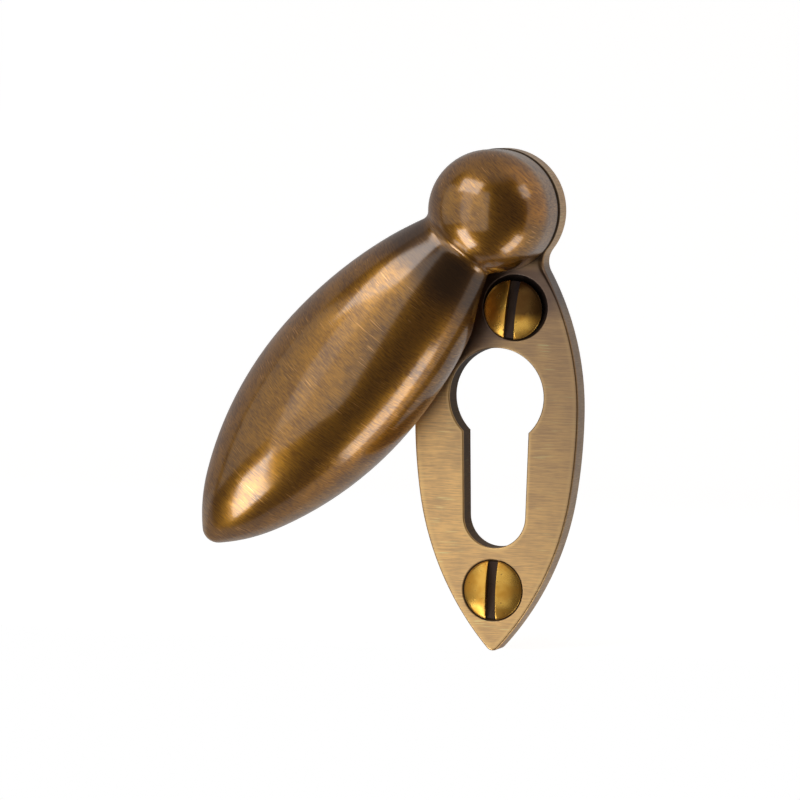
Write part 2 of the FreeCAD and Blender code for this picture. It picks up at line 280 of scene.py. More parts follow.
def arc_points(centre, radius, start, end, step):
    """Points of an arc of less than half a turn, without its last one."""
    first = math.atan2(start.y - centre.y, start.x - centre.x)
    sweep = math.atan2(end.y - centre.y, end.x - centre.x) - first
    sweep = (sweep + math.pi) % (2 * math.pi) - math.pi
    count = max(2, math.ceil(abs(sweep) * radius / step))
    angles = [first + sweep * i / count for i in range(count)]
    return [centre + radius * Vector((math.cos(a), math.sin(a))) for a in angles]


def line_points(start, end, step):
    count = max(1, math.ceil((end - start).length / step))
    return [start.lerp(end, i / count) for i in range(count)]


def circle_points(x, z, radius, count):
    angles = [2 * math.pi * i / count for i in range(count)]
    return [Vector((x + radius * math.cos(a), z + radius * math.sin(a))) for a in angles]


def towards(centre, radius, target):
    return centre + radius * (target - centre).normalized()


def flipped(point):
    return Vector((-point.x, point.y))


def plate_outline(sizes, step):
    """The pointed oval, its neck arcs and the disc, as one closed line of points."""
    shoulder = Vector((sizes.half_width - sizes.shoulder_radius, sizes.widest_z))
    belly = Vector((sizes.half_width - sizes.belly_radius, sizes.widest_z))
    disc = Vector((0, sizes.pivot_z))
    reach_a = sizes.shoulder_radius + sizes.neck_radius
    reach_b = sizes.disc_radius + sizes.neck_radius
    between = disc - shoulder
    along = (reach_a ** 2 - reach_b ** 2 + between.length ** 2) / (2 * between.length)
    across = math.sqrt(reach_a ** 2 - along ** 2)
    unit = between.normalized()
    neck = shoulder + unit * along + across * Vector((unit.y, -unit.x))
    fall = sizes.widest_z - sizes.foot_start_z
    foot_start = Vector((belly.x + math.sqrt(sizes.belly_radius ** 2 - fall ** 2), sizes.foot_start_z))
    foot = towards(foot_start, sizes.foot_radius, belly)
    tip = Vector((0, foot.y - math.sqrt((sizes.foot_radius - sizes.tip_radius) ** 2 - foot.x ** 2)))
    tip_side = towards(foot, sizes.foot_radius, tip)
    widest = Vector((sizes.half_width, sizes.widest_z))
    shoulder_top = towards(shoulder, sizes.shoulder_radius, neck)
    disc_side = towards(disc, sizes.disc_radius, neck)
    crown = disc + Vector((0, sizes.disc_radius))
    low = tip - Vector((0, sizes.tip_radius))
    right = arc_points(tip, sizes.tip_radius, low, tip_side, step / 4)
    right += arc_points(foot, sizes.foot_radius, tip_side, foot_start, step)
    right += arc_points(belly, sizes.belly_radius, foot_start, widest, step)
    right += arc_points(shoulder, sizes.shoulder_radius, widest, shoulder_top, step)
    right += arc_points(neck, sizes.neck_radius, shoulder_top, disc_side, step / 2)
    halfway = towards(disc, sizes.disc_radius, disc + Vector((1, -0.2)))
    right += arc_points(disc, sizes.disc_radius, disc_side, halfway, step)
    right += arc_points(disc, sizes.disc_radius, halfway, crown, step)
    left = [flipped(point) for point in reversed(right[1:])]
    return right + [crown] + left


def keyhole_outline(sizes, step):
    """The round and the slot of the keyhole, as one closed line of points."""
    corner = Vector((sizes.slot_half_width, -math.sqrt(sizes.radius ** 2 - sizes.slot_half_width ** 2)))
    foot = Vector((0, sizes.radius - sizes.height + sizes.foot_radius))
    reach = corner - foot
    angle = math.atan2(reach.y, reach.x) - math.acos(sizes.foot_radius / reach.length)
    tangent = foot + sizes.foot_radius * Vector((math.cos(angle), math.sin(angle)))
    low = foot - Vector((0, sizes.foot_radius))
    right = arc_points(foot, sizes.foot_radius, low, tangent, step)
    right += line_points(tangent, corner, step)
    side = Vector((sizes.radius, 0))
    right += arc_points(Vector((0, 0)), sizes.radius, corner, side, step)
    right += arc_points(Vector((0, 0)), sizes.radius, side, Vector((0, sizes.radius)), step)
    left = [flipped(point) for point in reversed(right[1:])]
    return right + [Vector((0, sizes.radius))] + left


def outward(points):
    """Unit normals of a closed line of points that runs anticlockwise."""
    found = []
    for i, point in enumerate(points):
        along = points[(i + 1) % len(points)] - points[i - 1]
        found.append(Vector((along.y, -along.x)).normalized())
    return found


# Building meshes row by row

def add_row(mesh, points, normals, offset, y):
    """One closed row of vertices; offset and depth may be one number or one for each point."""
    steps = offset if isinstance(offset, list) else [offset] * len(points)
    depths = y if isinstance(y, list) else [y] * len(points)
    row = []
    for point, normal, step, depth in zip(points, normals, steps, depths):
        place = point + normal * step
        row.append(mesh.verts.new((place.x, depth, place.y)))
    return row


def marked(row, layer, value):
    """The row, with the value written on its vertices."""
    for vert in row:
        vert[layer] = value
    return row


def join_rows(mesh, first, second):
    for i in range(len(first)):
        j = (i + 1) % len(first)
        mesh.faces.new((first[i], first[j], second[j], second[i]))


def join_all(mesh, rows):
    for first, second in zip(rows, rows[1:]):
        join_rows(mesh, first, second)


def fill_between(mesh, loops, normal):
    """Fills the flat face between one outer loop and the loops of its holes."""
    edges = []
    for loop in loops:
        for i in range(len(loop)):
            pair = (loop[i], loop[(i + 1) % len(loop)])
            edges.append(mesh.edges.get(pair) or mesh.edges.new(pair))
    bmesh.ops.triangle_fill(mesh, use_beauty=True, edges=edges, normal=normal)


def rounded(radius, count):
    """Steps of a quarter round: how far along the face, and how far down the wall."""
    angles = [math.pi / 2 * i / count for i in range(count + 1)]
    return [(radius * (1 - math.sin(a)), radius * (1 - math.cos(a))) for a in angles]


def finished_object(name, mesh, smooth_angle):
    """Turns the built mesh into a shaded object at the origin."""
    bmesh.ops.recalc_face_normals(mesh, faces=mesh.faces)
    for face in mesh.faces:
        face.smooth = True
    for edge in mesh.edges:
        if edge.is_manifold and edge.calc_face_angle(0) > smooth_angle:
            edge.smooth = False
    data = bpy.data.meshes.new(name)
    mesh.to_mesh(data)
    mesh.free()
    piece = bpy.data.objects.new(name, data)
    bpy.context.scene.collection.objects.link(piece)
    return piece


def applied(piece):
    """The piece with its modifiers made plain mesh, and none left on it."""
    graph = bpy.context.evaluated_depsgraph_get()
    data = bpy.data.meshes.new_from_object(piece.evaluated_get(graph), depsgraph=graph)
    piece.modifiers.clear()
    piece.data = data
    return piece


def set_ball_normals(data, centre, radius):
    """The true normals of the ball, so that no pinch shows where its faces meet in front."""
    automatic = Vector((0, 0, 0))
    near = 0.01 * MM
    normals = [automatic] * len(data.loops)
    for corner in data.loops:
        arm = data.vertices[corner.vertex_index].co - centre
        if arm.y < 0 and abs(arm.length - radius) < near:
            normals[corner.index] = arm.normalized()
    data.normals_split_custom_set(normals)


# Node helpers

def add_node(tree, kind, **values):
    """A node with its own settings, such as its operation."""
    node = tree.nodes.new(kind)
    for key, value in values.items():
        setattr(node, key, value)
    return node


def math_node(tree, operation, first, second=None, clamp=False):
    """A sum, product or other operation on two values, each a socket or a number."""
    node = add_node(tree, "ShaderNodeMath", operation=operation, use_clamp=clamp)
    for socket, value in zip(node.inputs, (first, second)):
        if value is None:
            continue
        if isinstance(value, (int, float)):
            socket.default_value = value
        else:
            tree.links.new(value, socket)
    return node.outputs[0]


def product(tree, first, second):
    return math_node(tree, "MULTIPLY", first, second)


def total(tree, first, second):
    return math_node(tree, "ADD", first, second)


def larger(tree, first, second):
    return math_node(tree, "MAXIMUM", first, second)


def rest_of_one(tree, value):
    return math_node(tree, "SUBTRACT", 1.0, value)


def mapped(tree, value, low, high, out_low=0.0, out_high=1.0):
    """The value carried from one range to another, clamped, with a soft start and end."""
    node = add_node(tree, "ShaderNodeMapRange", interpolation_type="SMOOTHSTEP")
    tree.links.new(value, node.inputs["Value"])
    node.inputs["From Min"].default_value = low
    node.inputs["From Max"].default_value = high
    node.inputs["To Min"].default_value = out_low
    node.inputs["To Max"].default_value = out_high
    return node.outputs[0]


def mixed(tree, amount, first, second):
    """Two colours mixed by the amount; each may be a socket or three numbers."""
    node = add_node(tree, "ShaderNodeMix", data_type="RGBA")
    tree.links.new(amount, node.inputs["Factor"])
    colours = [socket for socket in node.inputs if socket.type == "RGBA"]
    for socket, value in zip(colours, (first, second)):
        if hasattr(value, "links"):
            tree.links.new(value, socket)
        else:
            socket.default_value = (*value, 1)
    return next(socket for socket in node.outputs if socket.type == "RGBA")


def coordinate_parts(tree, coordinates):
    """The X, Y and Z of the coordinates, each as a socket."""
    parts = tree.nodes.new("ShaderNodeSeparateXYZ")
    tree.links.new(coordinates, parts.inputs[0])
    return parts.outputs


def noise(tree, coordinates, scale, detail=2.0, rough=0.5, stretch=(1, 1, 1), shift=(0, 0, 0)):
    """Noise on the coordinates, drawn out along the axes by the stretch."""
    place = add_node(tree, "ShaderNodeMapping", vector_type="POINT")
    place.inputs["Location"].default_value = shift
    place.inputs["Scale"].default_value = stretch
    tree.links.new(coordinates, place.inputs["Vector"])
    node = tree.nodes.new("ShaderNodeTexNoise")
    node.inputs["Scale"].default_value = scale
    node.inputs["Detail"].default_value = detail
    node.inputs["Roughness"].default_value = rough
    tree.links.new(place.outputs["Vector"], node.inputs["Vector"])
    return node.outputs["Fac"]


def new_material(name):
    """A material with an empty node tree, its shader and its output."""
    material = bpy.data.materials.new(name)
    material.use_nodes = True
    tree = material.node_tree
    tree.nodes.clear()
    shader = tree.nodes.new("ShaderNodeBsdfPrincipled")
    output = tree.nodes.new("ShaderNodeOutputMaterial")
    tree.links.new(shader.outputs["BSDF"], output.inputs["Surface"])
    return material, tree, shader


def object_place(tree, location=(0, 0, 0), turn=0.0):
    """Object coordinates, shifted to a centre and turned in the plane of the plate."""
    source = tree.nodes.new("ShaderNodeTexCoord")
    place = add_node(tree, "ShaderNodeMapping", vector_type="TEXTURE")
    place.inputs["Location"].default_value = location
    place.inputs["Rotation"].default_value = (0, turn, 0)
    tree.links.new(source.outputs["Object"], place.inputs["Vector"])
    return place.outputs["Vector"]


def add_bump(tree, shader, height, distance, under_lacquer):
    """Presses the height into the metal, and into the lacquer over it where there is any."""
    bump = tree.nodes.new("ShaderNodeBump")
    bump.inputs["Strength"].default_value = 1.0
    bump.inputs["Distance"].default_value = distance
    tree.links.new(height, bump.inputs["Height"])
    tree.links.new(bump.outputs["Normal"], shader.inputs["Normal"])
    if under_lacquer:
        tree.links.new(bump.outputs["Normal"], shader.inputs["Coat Normal"])


# Materials

def wandering(tree, coordinates):
    """Coordinates that wander a little along the brushed axis, so that no stroke is dead straight."""
    wander = noise(tree, coordinates, 150, 1)
    shift = tree.nodes.new("ShaderNodeCombineXYZ")
    tree.links.new(product(tree, wander, 0.5 * MM), shift.inputs["Z"])
    bent = add_node(tree, "ShaderNodeVectorMath", operation="ADD")
    tree.links.new(coordinates, bent.inputs[0])
    tree.links.new(shift.outputs[0], bent.inputs[1])
    return bent.outputs[0]


def bright_scratches(tree, coordinates, bent, strokes):
    """How much bright metal shows in the few long scratches, which lie in patches."""
    long = (strokes[0] * 0.5, strokes[1] * 0.5, strokes[2] * 1.2)
    scratch = noise(tree, bent, 1, 0, 0.5, long, (11, 2, 5))
    patch = noise(tree, coordinates, 240, 1, shift=(1, 4, 2))
    return product(tree, mapped(tree, scratch, 0.68, 0.78, 0.0, 0.9), mapped(tree, patch, 0.48, 0.62))


def brushed_brass(name, place, brass, patina, strokes, depth, roughness):
    """Antique brass under lacquer, with brown patina in clouds and between its brush strokes."""
    material, tree, shader = new_material(name)
    coordinates = object_place(tree, *place)
    bent = wandering(tree, coordinates)
    fine = noise(tree, bent, 1, 2, 0.6, strokes)
    bright = bright_scratches(tree, coordinates, bent, strokes)
    clouds = noise(tree, coordinates, 220, 3)
    rubbed = total(tree, product(tree, fine, 0.6), product(tree, clouds, 0.4))
    base = mixed(tree, mapped(tree, rubbed, 0.32, 0.68), patina, brass)
    bare = tuple(min(1.0, value * 1.3 + 0.08) for value in brass)
    base = mixed(tree, bright, base, bare)
    smooth, dull = roughness
    rough = mapped(tree, rubbed, 0.36, 0.64, dull, smooth)
    tree.links.new(base, shader.inputs["Base Color"])
    tree.links.new(rough, shader.inputs["Roughness"])
    shader.inputs["Metallic"].default_value = 1.0
    add_bump(tree, shader, product(tree, fine, depth), 1.0, True)
    return material, tree, shader, base, rough


def patina_and_ball_shadow(tree, places):
    """How much dark patina and painted shade lie on the plate: a painted shadow of the ball and cover, most
    round the neck and below the ball, and painted shade that deepens up the plate, least at the lower left.
    """
    coordinates = object_place(tree)
    x, _, z = coordinate_parts(tree, coordinates)
    height = total(tree, z, product(tree, noise(tree, coordinates, 260, 3), places.ragged))
    # Painted shadow of the ball and cover round the neck, together with patina.
    neck = math_node(tree, "SUBTRACT", height, product(tree, x, 0.5))
    neck = mapped(tree, neck, *places.neck, 0.0, 0.95)
    # Painted shade that darkens the plate upwards and to the right.
    side = total(tree, height, product(tree, x, 1.5))
    side = mapped(tree, side, *places.side, 0.0, 0.6)
    below = mapped(tree, z, *places.ball_shade, 1.0, 0.0)
    return product(tree, larger(tree, neck, side), below)


def brush_across(tree, shader):
    """Draws the highlights out across level brush strokes."""
    shader.inputs["Anisotropic"].default_value = 0.6
    across = add_node(tree, "ShaderNodeVectorTransform", vector_type="VECTOR",
                      convert_from="OBJECT", convert_to="WORLD")
    across.inputs[0].default_value = (0, 0, 1)
    tree.links.new(across.outputs[0], shader.inputs["Tangent"])


def plate_material(finish, places):
    """The plate's brass, brushed level, matt and near-black down the holes with painted shade in the
    countersinks, worn bright at the edges, with painted shade at the seam under the ball and a painted
    shadow of the ball and cover round the neck.
    """
    material, tree, shader, base, rough = brushed_brass(
        "brushed_plate_brass", ((0, 0, 0), 0.0), finish.plate_brass, finish.plate_patina,
        (320, 320, 6500), 0.003 * MM, (0.34, 0.44))
    brush_across(tree, shader)
    worn = add_node(tree, "ShaderNodeAttribute", attribute_name="worn").outputs["Fac"]
    # Near-black matt keyhole walls, and painted shade in the countersinks.
    dark_walls = add_node(tree, "ShaderNodeAttribute", attribute_name="dark_walls").outputs["Fac"]
    _, y, z = coordinate_parts(tree, object_place(tree))
    disc = mapped(tree, z, *places.disc)
    # Painted shade at the seam where the ball sits on the disc: its edge darkens to the front, and its face
    # under the ball goes near-black.
    seam_shade = product(tree, disc, mapped(tree, y, *places.disc_edge_shade, 0.0, 0.9))
    worn = product(tree, worn, rest_of_one(tree, disc))
    clean = rest_of_one(tree, larger(tree, dark_walls, seam_shade))
    base = mixed(tree, product(tree, worn, 0.7), base, finish.worn_brass)
    # Dark patina together with the painted shadow of the ball and cover, and painted shade up the plate.
    base = mixed(tree, patina_and_ball_shadow(tree, places), base, finish.patina_and_shadow)
    # Painted shade at the seam under the ball.
    base = mixed(tree, seam_shade, base, finish.near_black)
    # Near-black keyhole walls, and painted shade in the countersinks.
    base = mixed(tree, dark_walls, base, finish.near_black)
    rough = larger(tree, product(tree, dark_walls, 0.8), rough)
    tree.links.new(base, shader.inputs["Base Color"])
    tree.links.new(rough, shader.inputs["Roughness"])
    tree.links.new(clean, shader.inputs["Metallic"])
    tree.links.new(product(tree, clean, 0.4), shader.inputs["Coat Weight"])
    shader.inputs["Coat Roughness"].default_value = 0.2
    shader.inputs["Specular IOR Level"].default_value = 0.08
    return material


def cover_material(finish, places, sizes, pivot_z):
    """The cover's darker brass, brushed round its long axis, under thick lacquer."""
    place = ((0, sizes.axis_y, pivot_z), sizes.hang)
    material, tree, shader, base, _ = brushed_brass(
        "brushed_cover_brass", place, finish.cover_brass, finish.cover_patina,
        (650, 650, 4800), 0.005 * MM, (0.32, 0.40))
    _, y, _ = coordinate_parts(tree, object_place(tree))
    _, _, along = coordinate_parts(tree, object_place(tree, *place))
    # Painted shade at the ball's foot against the plate, with no lacquer shine there.
    foot = mapped(tree, y, *places.ball_foot_shade, 0.0, 0.9)
    low = mapped(tree, along, *places.crease_low, 0.0, 0.85)
    high = mapped(tree, along, *places.crease_high, 1.0, 0.0)
    base = mixed(tree, product(tree, low, high), base, finish.crease_patina)
    base = mixed(tree, foot, base, finish.near_black)
    tree.links.new(base, shader.inputs["Base Color"])
    tree.links.new(rest_of_one(tree, foot), shader.inputs["Coat Weight"])
    shader.inputs["Coat IOR"].default_value = 1.9
    shader.inputs["Coat Roughness"].default_value = 0.15
    return material


def casting_pits(tree, coordinates):
    """How much of a small pit there is, scattered in patches."""
    cells = tree.nodes.new("ShaderNodeTexVoronoi")
    cells.inputs["Scale"].default_value = 1400
    tree.links.new(coordinates, cells.inputs["Vector"])
    scatter = noise(tree, coordinates, 500)
    return product(tree, mapped(tree, cells.outputs["Distance"], 0.05, 0.25, 1.0, 0.0),
                   mapped(tree, scatter, 0.48, 0.62))


def painted_sunk_shade(tree, y, sizes, plate):
    """How much painted shade lies at a depth: full at the slot's floor, none behind the plate."""
    land_y = -plate.thickness - sizes.head_land
    floor_y = land_y - sizes.dome_height + sizes.slot_depth
    slot = mapped(tree, y, floor_y - 0.9 * MM, floor_y - 0.1 * MM)
    under_land = mapped(tree, y, land_y, land_y + 0.2 * MM, 0.35, 1.0)
    in_plate = mapped(tree, y, 0.0, 0.5 * MM, 1.0, 0.0)
    return product(tree, product(tree, slot, under_land), in_plate)


def shaded_side(tree, coordinates, places):
    """How much dark patina and painted shadow of the ball lie at the upper right of the upper head, next to
    the ball.
    """
    x, _, z = coordinate_parts(tree, coordinates)
    ragged = product(tree, noise(tree, coordinates, 420, 3), places.head_ragged)
    right = mapped(tree, total(tree, x, ragged), *places.head_right)
    top = mapped(tree, total(tree, z, ragged), *places.head_top)
    return product(tree, right, top)


def screw_material(finish, places, sizes, plate):
    """Polished brass with small dark pits, painted shade in the slot, and a dark patina with a painted
    shadow of the ball on the upper head.
    """
    material, tree, shader = new_material("polished_screw_brass")
    coordinates = object_place(tree)
    _, y, _ = coordinate_parts(tree, coordinates)
    pits = casting_pits(tree, coordinates)
    waves = noise(tree, coordinates, 300)
    sunk_shade = painted_sunk_shade(tree, y, sizes, plate)
    ball_shadow_on_head = shaded_side(tree, coordinates, places)
    hollows = mapped(tree, waves, 0.35, 0.65, 0.1, 0.9)
    base = mixed(tree, hollows, finish.screw_brass, finish.screw_shade)
    base = mixed(tree, product(tree, pits, 0.7), base, finish.screw_dirt_and_shade)
    # Dark patina and painted shadow of the ball at the upper right of the upper head.
    base = mixed(tree, product(tree, ball_shadow_on_head, 0.92), base, finish.screw_patina_and_shadow)
    # Painted shade in the slot and round the head's edge.
    base = mixed(tree, product(tree, sunk_shade, 0.95), base, finish.screw_dirt_and_shade)
    rough = larger(tree, mapped(tree, waves, 0.3, 0.7, 0.24, 0.36), product(tree, sunk_shade, 0.6))
    tree.links.new(base, shader.inputs["Base Color"])
    tree.links.new(rough, shader.inputs["Roughness"])
    tree.links.new(rest_of_one(tree, sunk_shade), shader.inputs["Metallic"])
    shader.inputs["Specular IOR Level"].default_value = 0.1
    height = math_node(tree, "SUBTRACT", product(tree, waves, 0.7), pits)
    add_bump(tree, shader, height, 0.03 * MM, False)
    return material


def steel_material(name, steel, roughness):
    """Plain turned steel with fine marks round the pivot."""
    material, tree, shader = new_material(name)
    coordinates = object_place(tree)
    marks = noise(tree, coordinates, 1, stretch=(900, 5000, 900))
    blotches = mapped(tree, noise(tree, coordinates, 400, 3), 0.3, 0.7, 0.0, 0.5)
    dull = tuple(value * 0.6 for value in steel)
    rough = mapped(tree, marks, 0.3, 0.7, roughness, roughness + 0.15)
    tree.links.new(mixed(tree, blotches, steel, dull), shader.inputs["Base Color"])
    tree.links.new(rough, shader.inputs["Roughness"])
    shader.inputs["Metallic"].default_value = 1.0
    return material


# Pieces

def edge_rounding(points, sizes, neck_z):
    """The rounding of the front edge at each point, which softens towards the neck."""
    neck_reach = 4 * MM
    edge = []
    for point in points:
        near = math.exp(-((point.y - neck_z) / neck_reach) ** 2)
        edge.append(sizes.edge_round + (sizes.neck_round - sizes.edge_round) * near)
    return edge


def outer_rows(mesh, worn, sizes, neck_z):
    """The plate's outside from its back to its face, worn bright along the front edge."""
    face_y = -sizes.thickness
    points = plate_outline(sizes, OUTLINE_STEP)
    inward = [-normal for normal in outward(points)]
    edge = edge_rounding(points, sizes, neck_z)
    rows = [
        add_row(mesh, points, inward, BACK_CHAMFER, 0.0),
        add_row(mesh, points, inward, 0.0, -BACK_CHAMFER),
        add_row(mesh, points, inward, 0.0, [face_y + 1.15 * value for value in edge]),
    ]
    for along, down in reversed(rounded(1.0, EDGE_STEPS)):
        offsets = [value * along for value in edge]
        depths = [face_y + value * down for value in edge]
        wear = 0.55 * (1 - abs(2 * down - 0.6))
        rows.append(marked(add_row(mesh, points, inward, offsets, depths), worn, wear))
    for step, wear in ((0.25 * MM, 0.75), (0.55 * MM, 0.35), (0.85 * MM, 0.0)):
        offsets = [value + step for value in edge]
        rows.append(marked(add_row(mesh, points, inward, offsets, face_y), worn, wear))
    join_all(mesh, rows)
    return rows


def keyhole_rows(mesh, worn, dark_walls, hole, face_y):
    """The keyhole's wall from the face to the back, with a bright rim and a dull wall."""
    outline = keyhole_outline(hole, OUTLINE_STEP)
    normals = outward(outline)
    around = hole.rim + 0.5 * MM
    rows = [add_row(mesh, outline, normals, around, face_y)]
    for along, down in rounded(hole.rim, RIM_STEPS):
        rows.append(marked(add_row(mesh, outline, normals, along, face_y + down), worn, 1.0))
    for y in (face_y + 1.6 * hole.rim, -0.3 * MM, -BACK_CHAMFER):
        # The keyhole's wall is painted near-black and matt.
        rows.append(marked(add_row(mesh, outline, normals, 0.0, y), dark_walls, 0.8))
    rows.append(marked(add_row(mesh, outline, normals, BACK_CHAMFER, 0.0), dark_walls, 0.8))
    join_all(mesh, rows)
    return rows


def countersink_rows(mesh, dark_walls, centre, radius, hole_radius, face_y):
    """A screw hole from the face to the back: eased lip, cone darkened by painted shade, and narrow bore."""
    outline = circle_points(*centre, hole_radius, ROUND_POINTS)
    normals = outward(outline)
    flare = radius - hole_radius
    back_ease = 0.1 * MM
    rows = [add_row(mesh, outline, normals, flare + 2 * SINK_LIP, face_y)]
    # Painted shade deepens from the lip down the cone and stays on the bore.
    for offset, y, soil in (
        (flare + SINK_LIP, face_y, 0.0),
        (flare + 0.3 * SINK_LIP, face_y + 0.35 * SINK_LIP, 0.4),
        (flare - 0.6 * SINK_LIP, face_y + SINK_LIP, 0.9),
        (0.0, face_y + flare, 1.0),
        (0.0, -back_ease, 1.0),
        (back_ease, 0.0, 0.5),
    ):
        rows.append(marked(add_row(mesh, outline, normals, offset, y), dark_walls, soil))
    join_all(mesh, rows)
    return rows


def pivot_rows(mesh, sizes):
    """The pivot's bore from the face to its recess in the back."""
    outline = circle_points(0, sizes.pivot_z, sizes.pivot_bore, ROUND_POINTS)
    normals = outward(outline)
    step = sizes.recess_radius - sizes.pivot_bore
    rows = [
        add_row(mesh, outline, normals, 0.0, -sizes.thickness),
        add_row(mesh, outline, normals, 0.0, -sizes.recess_depth),
        add_row(mesh, outline, normals, step, -sizes.recess_depth),
        add_row(mesh, outline, normals, step, 0.0),
    ]
    join_all(mesh, rows)
    return rows


def build_plate(sizes, hole, screws):
    """The back plate with its keyhole, countersinks, pivot bore and rounded front edge."""
    mesh = bmesh.new()
    worn = mesh.verts.layers.float.new("worn")
    dark_walls = mesh.verts.layers.float.new("dark_walls")
    face_y = -sizes.thickness
    upper = (screws.upper_x + screws.upper_sink_x, screws.upper_z + screws.upper_sink_z)
    lower = (screws.lower_x + screws.lower_sink_x, screws.lower_z + screws.lower_sink_z)
    outside = outer_rows(mesh, worn, sizes, 0.5 * (sizes.pivot_z + screws.upper_z))
    holes = [
        keyhole_rows(mesh, worn, dark_walls, hole, face_y),
        countersink_rows(mesh, dark_walls, upper, screws.upper_sink, screws.hole_radius, face_y),
        countersink_rows(mesh, dark_walls, lower, screws.lower_sink, screws.hole_radius, face_y),
        pivot_rows(mesh, sizes),
    ]
    fill_between(mesh, [outside[-1]] + [rows[0] for rows in holes], (0, -1, 0))
    fill_between(mesh, [outside[0]] + [rows[-1] for rows in holes], (0, 1, 0))
    return finished_object("escutcheon_plate", mesh, PLATE_CREASE)


def turned_rows(mesh, x, z, profile, count):
    """A closed turned shape from radius and depth pairs, whose first and last lie on the axis."""
    outline = circle_points(x, z, 1.0, count)
    centre = Vector((x, z))
    rays = [point - centre for point in outline]
    middle = [centre] * count
    rows = [add_row(mesh, middle, rays, radius, y) for radius, y in profile[1:-1]]
    join_all(mesh, rows)
    for row, (_, y) in ((rows[0], profile[0]), (rows[-1], profile[-1])):
        pole = mesh.verts.new((x, y, z))
        for i in range(count):
            mesh.faces.new((row[i], row[(i + 1) % count], pole))


def head_profile(sizes, face_y):
    """Radius and depth from the top of the dome down the cone to the smooth end of the shank."""
    land_y = face_y - sizes.head_land
    top_y = land_y - sizes.dome_height
    sphere = (sizes.head_radius ** 2 + sizes.dome_height ** 2) / (2 * sizes.dome_height)
    dome_angle = 0.985 * math.asin(sizes.head_radius / sphere)
    shank_end = sizes.thread_start + 0.5 * MM
    profile = [(0, top_y)]
    for i in range(1, DOME_STEPS + 1):
        angle = dome_angle * i / DOME_STEPS
        profile.append((sphere * math.sin(angle), top_y + sphere * (1 - math.cos(angle))))
    profile += [
        (sizes.head_radius - 0.02 * MM, land_y + 0.4 * HEAD_LIP),
        (sizes.head_radius, land_y + HEAD_LIP),
        (sizes.head_radius, face_y),
        (sizes.shank_radius, face_y + sizes.head_radius - sizes.shank_radius),
        (sizes.shank_radius, sizes.thread_start + 0.2 * MM),
        (sizes.root_radius, shank_end),
        (0, shank_end),
    ]
    return profile


def slot_cutter(name, sizes, top_y, x, z, turn):
    """The block that cuts the slot, standing out over the dome and past both of its sides."""
    above = 2 * MM
    mesh = bmesh.new()
    size = Matrix.Diagonal((sizes.slot_width, sizes.slot_depth + above, 3 * sizes.head_radius, 1))
    centre = Matrix.Translation((sizes.slot_offset, top_y + (sizes.slot_depth - above) / 2, 0))
    bmesh.ops.create_cube(mesh, size=1, matrix=centre @ size)
    lying = Matrix.Translation((x, 0, z)) @ Matrix.Rotation(turn, 4, "Y")
    bmesh.ops.transform(mesh, matrix=lying, verts=mesh.verts)
    return finished_object(name, mesh, HEAD_CREASE)


def screw_head(name, sizes, plate, x, z, turn):
    """Raised head, cone and smooth shank, with the slot cut across the dome."""
    profile = head_profile(sizes, -plate.thickness)
    mesh = bmesh.new()
    turned_rows(mesh, x, z, profile, ROUND_POINTS)
    head = finished_object(name, mesh, HEAD_CREASE)
    cutter = slot_cutter(name + "_slot", sizes, profile[0][1], x, z, turn)
    cut = head.modifiers.new("slot", "BOOLEAN")
    cut.operation = "DIFFERENCE"
    cut.solver = "EXACT"
    cut.object = cutter
    ease = head.modifiers.new("eased slot", "BEVEL")
    ease.width = SLOT_EASE
    ease.segments = 2
    ease.limit_method = "ANGLE"
    ease.angle_limit = SLOT_CREASE
    applied(head)
    bpy.data.objects.remove(cutter)
    return head


def thread_sockets(tree):
    """The named inputs and the output of the thread's nodes."""
    face = tree.interface
    face.new_socket("Geometry", in_out="INPUT", socket_type="NodeSocketGeometry")
    for label in ("Axis X", "Axis Z", "Start", "Thread Length", "Point Length", "Pitch",
                  "Root Radius", "Crest Radius"):
        face.new_socket(label, in_out="INPUT", socket_type="NodeSocketFloat")
    face.new_socket("Geometry", in_out="OUTPUT", socket_type="NodeSocketGeometry")


def thread_radius(tree, given, turn, depth, whole):
    """Radius of the thread at a share of a turn and a depth, tapering in and out to the point."""
    turns = math_node(tree, "DIVIDE", depth, given["Pitch"])
    phase = math_node(tree, "FRACT", total(tree, turns, turn))
    away = math_node(tree, "ABSOLUTE", math_node(tree, "SUBTRACT", phase, 0.5))
    ridge = math_node(tree, "SUBTRACT", 1.0, math_node(tree, "DIVIDE", away, 0.24), clamp=True)
    left = math_node(tree, "SUBTRACT", whole, depth)
    taper = math_node(tree, "DIVIDE", left, given["Point Length"], clamp=True)
    start = math_node(tree, "DIVIDE", depth, 0.6 * MM, clamp=True)
    rise = math_node(tree, "SUBTRACT", given["Crest Radius"], given["Root Radius"])
    rise = product(tree, product(tree, rise, ridge), start)
    radius = total(tree, product(tree, given["Root Radius"], start), rise)
    return product(tree, radius, math_node(tree, "POWER", taper, 0.75))


